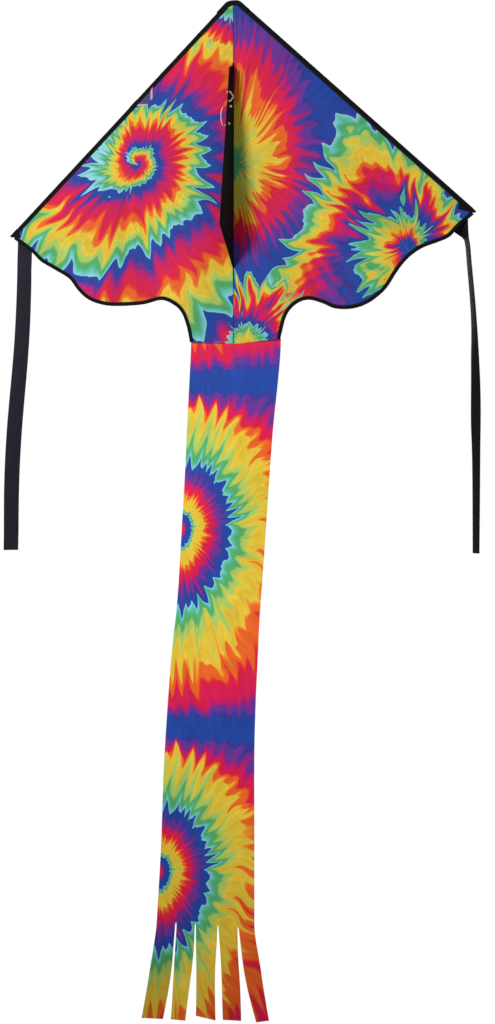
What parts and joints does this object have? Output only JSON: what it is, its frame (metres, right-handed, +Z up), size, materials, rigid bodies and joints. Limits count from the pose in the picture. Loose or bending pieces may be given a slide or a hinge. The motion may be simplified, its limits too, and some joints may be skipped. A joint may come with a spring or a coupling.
{
  "type": "delta kite",
  "caption": "Single-line delta kite with tie-dye sail, black edge sleeves and keel, tow loop, tip ribbons and a long fringed tail.",
  "frame": {"origin": "tow point, where the tow loop crosses the keel's leading edge", "axes": "+Z up towards the nose, -Y towards the front where the keel stands, +X to the right hand as seen from the front"},
  "size_m": [1.1955, 0.1314, 2.4506],
  "materials": {
    "sail_cloth": "tie-dye printed ripstop, spirals of blue, purple, red, orange, yellow and green",
    "tail_cloth": "tie-dye printed ripstop",
    "black_cloth": "woven black",
    "ribbon_cloth": "dark navy-black ripstop",
    "fibreglass": "black fibreglass rod",
    "vinyl": "soft black vinyl",
    "eyelet_metal": "nickel",
    "white_cord": "braided white cord"
  },
  "bodies": {
    "centre": {"spine_rod": "fibreglass", "spine_nose_cap": "vinyl", "spine_tail_cap": "vinyl", "spine_pocket": "black_cloth", "nose_patch": "black_cloth", "keel_seam_tape": "black_cloth", "spreader_rod": "fibreglass"},
    "left_wing": {"left_sail": "sail_cloth", "left_trailing_binding": "black_cloth", "left_hem_facing": "sail_cloth", "left_tip_patch": "black_cloth", "left_edge_rod": "fibreglass", "left_rod_nose_cap": "vinyl", "left_rod_tip_cap": "vinyl", "left_upper_sleeve": "black_cloth", "left_lower_sleeve": "black_cloth", "left_spreader_fitting": "vinyl", "left_blank_label": "sail_cloth"},
    "right_wing": {"right_sail": "sail_cloth", "right_trailing_binding": "black_cloth", "right_hem_facing": "sail_cloth", "right_tip_patch": "black_cloth", "right_edge_rod": "fibreglass", "right_rod_nose_cap": "vinyl", "right_rod_tip_cap": "vinyl", "right_upper_sleeve": "black_cloth", "right_lower_sleeve": "black_cloth", "right_spreader_fitting": "vinyl"},
    "left_ribbon": {"left_ribbon": "ribbon_cloth"},
    "right_ribbon": {"right_ribbon": "ribbon_cloth"},
    "keel": {"keel": "black_cloth", "keel_edge_tape": "black_cloth", "keel_eyelet_upper": "eyelet_metal", "keel_eyelet_middle": "eyelet_metal", "keel_eyelet_lower": "eyelet_metal", "keel_lashing": "white_cord", "tow_loop": "white_cord", "tow_knot_upper": "white_cord", "tow_knot_lower": "white_cord"},
    "tail": {"tail": "tail_cloth"},
    "fringe_1": {"fringe_1": "tail_cloth"},
    "fringe_2": {"fringe_2": "tail_cloth"},
    "fringe_3": {"fringe_3": "tail_cloth"},
    "fringe_4": {"fringe_4": "tail_cloth"},
    "fringe_5": {"fringe_5": "tail_cloth"}
  },
  "joints": [
    {"name": "left_wing_flex", "type": "hinge", "parent": "centre", "child": "left_wing", "pos_m": [0, 0.058, 0.283], "axis": [0, 0, -1], "range_deg": [0, 18], "stiffness_Nm_per_rad": 2, "deforming": ["spreader_rod"]},
    {"name": "right_wing_flex", "type": "hinge", "parent": "centre", "child": "right_wing", "pos_m": [0, 0.058, 0.283], "axis": [0, 0, 1], "range_deg": [0, 18], "stiffness_Nm_per_rad": 2, "deforming": ["spreader_rod"]},
    {"name": "left_ribbon_swing", "type": "hinge", "parent": "left_wing", "child": "left_ribbon", "pos_m": [-0.545, 0.058, -0.2894], "axis": [0.7727, 0, -0.6348], "range_deg": [-60, 60]},
    {"name": "right_ribbon_swing", "type": "hinge", "parent": "right_wing", "child": "right_ribbon", "pos_m": [0.545, 0.058, -0.2894], "axis": [0.7727, 0, 0.6348], "range_deg": [-60, 60]},
    {"name": "keel_swing", "type": "hinge", "parent": "centre", "child": "keel", "pos_m": [0, 0.0553, 0.283], "axis": [0, 0, 1], "range_deg": [-55, 55]},
    {"name": "tail_swing", "type": "hinge", "parent": "centre", "child": "tail", "pos_m": [0, 0.058, -0.5365], "axis": [1, 0, 0], "range_deg": [-50, 50]},
    {"name": "fringe_1_swing", "type": "hinge", "parent": "tail", "child": "fringe_1", "pos_m": [0, 0.058, -1.9526], "axis": [1, 0, 0], "range_deg": [-60, 60]},
    {"name": "fringe_2_swing", "type": "hinge", "parent": "tail", "child": "fringe_2", "pos_m": [0, 0.058, -1.9526], "axis": [1, 0, 0], "range_deg": [-60, 60]},
    {"name": "fringe_3_swing", "type": "hinge", "parent": "tail", "child": "fringe_3", "pos_m": [0, 0.058, -1.9526], "axis": [1, 0, 0], "range_deg": [-60, 60]},
    {"name": "fringe_4_swing", "type": "hinge", "parent": "tail", "child": "fringe_4", "pos_m": [0, 0.058, -1.9526], "axis": [1, 0, 0], "range_deg": [-60, 60]},
    {"name": "fringe_5_swing", "type": "hinge", "parent": "tail", "child": "fringe_5", "pos_m": [0, 0.058, -1.9526], "axis": [1, 0, 0], "range_deg": [-60, 60]}
  ]
}
